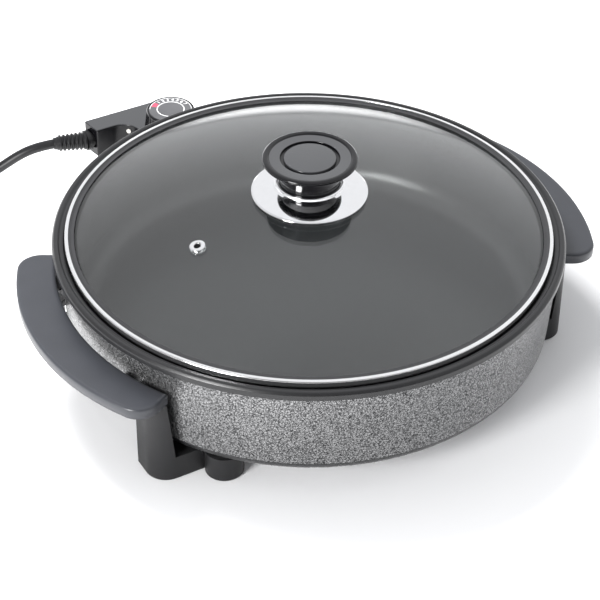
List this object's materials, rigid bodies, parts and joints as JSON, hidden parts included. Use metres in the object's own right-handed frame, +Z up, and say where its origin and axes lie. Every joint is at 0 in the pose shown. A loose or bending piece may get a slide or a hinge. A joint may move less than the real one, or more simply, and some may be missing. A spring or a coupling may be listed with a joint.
{
  "type": "lidded electric griddle pan",
  "caption": "Round non-stick electric griddle pan on legs with side handles, a vented glass lid and a plug-in dial thermostat on a mains lead.",
  "frame": {"origin": "on the floor under the pan's axis", "axes": "+Z up along the pan's axis, X through the two handles, +Y towards the thermostat controller"},
  "size_m": [0.4535, 0.4817, 0.1494],
  "materials": {
    "speckled_casting": "fine grey hammered speckle outside, dark non-stick coating on the rim and inside",
    "element_steel": "dull oxidised sheath",
    "terminal_metal": "bright drawn",
    "black_moulding": "satin, slightly grey bakelite",
    "grip_moulding": "satin blue-grey sheen",
    "gloss_black": "polished",
    "screw_steel": "zinc plated",
    "foot_rubber": "matt",
    "lid_glass": "clear tempered glass",
    "band_steel": "polished stainless steel",
    "seal_silicone": "matt silicone",
    "skirt_chrome": "mirror",
    "brass": "machined",
    "cover_grey": "semi-gloss, dark grey",
    "dial_print": "dark grey with white and red marks",
    "lamp_lens": "translucent",
    "lamp_glass": "clear",
    "ceramic": "glazed steatite",
    "spring_brass": "bright",
    "wire_sleeve": "silicone sleeve",
    "cord_black": "satin flexible sheath",
    "plug_black": "moulded"
  },
  "bodies": {
    "pan": {"pan_vessel": "speckled_casting", "heating_element": "element_steel", "terminal_pins": "terminal_metal", "socket_shroud": "black_moulding", "socket_screws": "screw_steel", "earth_contact": "terminal_metal", "right_handle_grip": "grip_moulding", "left_handle_grip": "grip_moulding", "rear_right_leg": "black_moulding", "rear_left_leg": "black_moulding", "front_right_leg": "black_moulding", "front_left_leg": "black_moulding", "handle_screws": "screw_steel", "leg_screws": "screw_steel", "foot_pads": "foot_rubber"},
    "lid": {"lid_glass": "lid_glass", "lid_rim_band": "band_steel", "lid_gasket": "seal_silicone", "vent_grommet": "band_steel", "knob_skirt": "skirt_chrome", "knob_spacer": "black_moulding", "knob_upper_seal": "seal_silicone", "knob_lower_seal": "seal_silicone", "knob_washer": "screw_steel", "knob_screw": "screw_steel", "knob_insert": "brass", "knob_body": "gloss_black", "knob_cap": "gloss_black"},
    "controller": {"controller_top_cover": "cover_grey", "controller_base_cover": "cover_grey", "probe_tube": "terminal_metal", "probe_collar": "brass", "contact_sleeves": "spring_brass", "thermostat_frame": "ceramic", "contact_blade": "spring_brass", "shaft_bushing": "brass", "indicator_lens": "lamp_lens", "neon_lamp": "lamp_glass", "controller_screws": "screw_steel", "cord_clamp": "black_moulding", "internal_wires": "wire_sleeve", "strain_relief": "cord_black", "cord_tube": "cord_black", "cord_tail": "cord_black", "cord_coil": "cord_black", "cord_tie": "plug_black", "plug_body": "plug_black", "plug_pins": "terminal_metal", "plug_earth_clips": "terminal_metal"},
    "dial": {"dial_knob": "gloss_black", "dial_face": "dial_print", "dial_shaft": "terminal_metal"}
  },
  "joints": [
    {"name": "lid_lift", "type": "slide", "parent": "pan", "child": "lid", "axis": [0, 0, 1], "range_m": [0, 0.12]},
    {"name": "controller_pull", "type": "slide", "parent": "pan", "child": "controller", "axis": [0, 1, 0], "range_m": [0, 0.06]},
    {"name": "dial_turn", "type": "hinge", "parent": "controller", "child": "dial", "pos_m": [0, 0.204, 0.06], "axis": [0, 0, -1], "range_deg": [0, 270]}
  ]
}
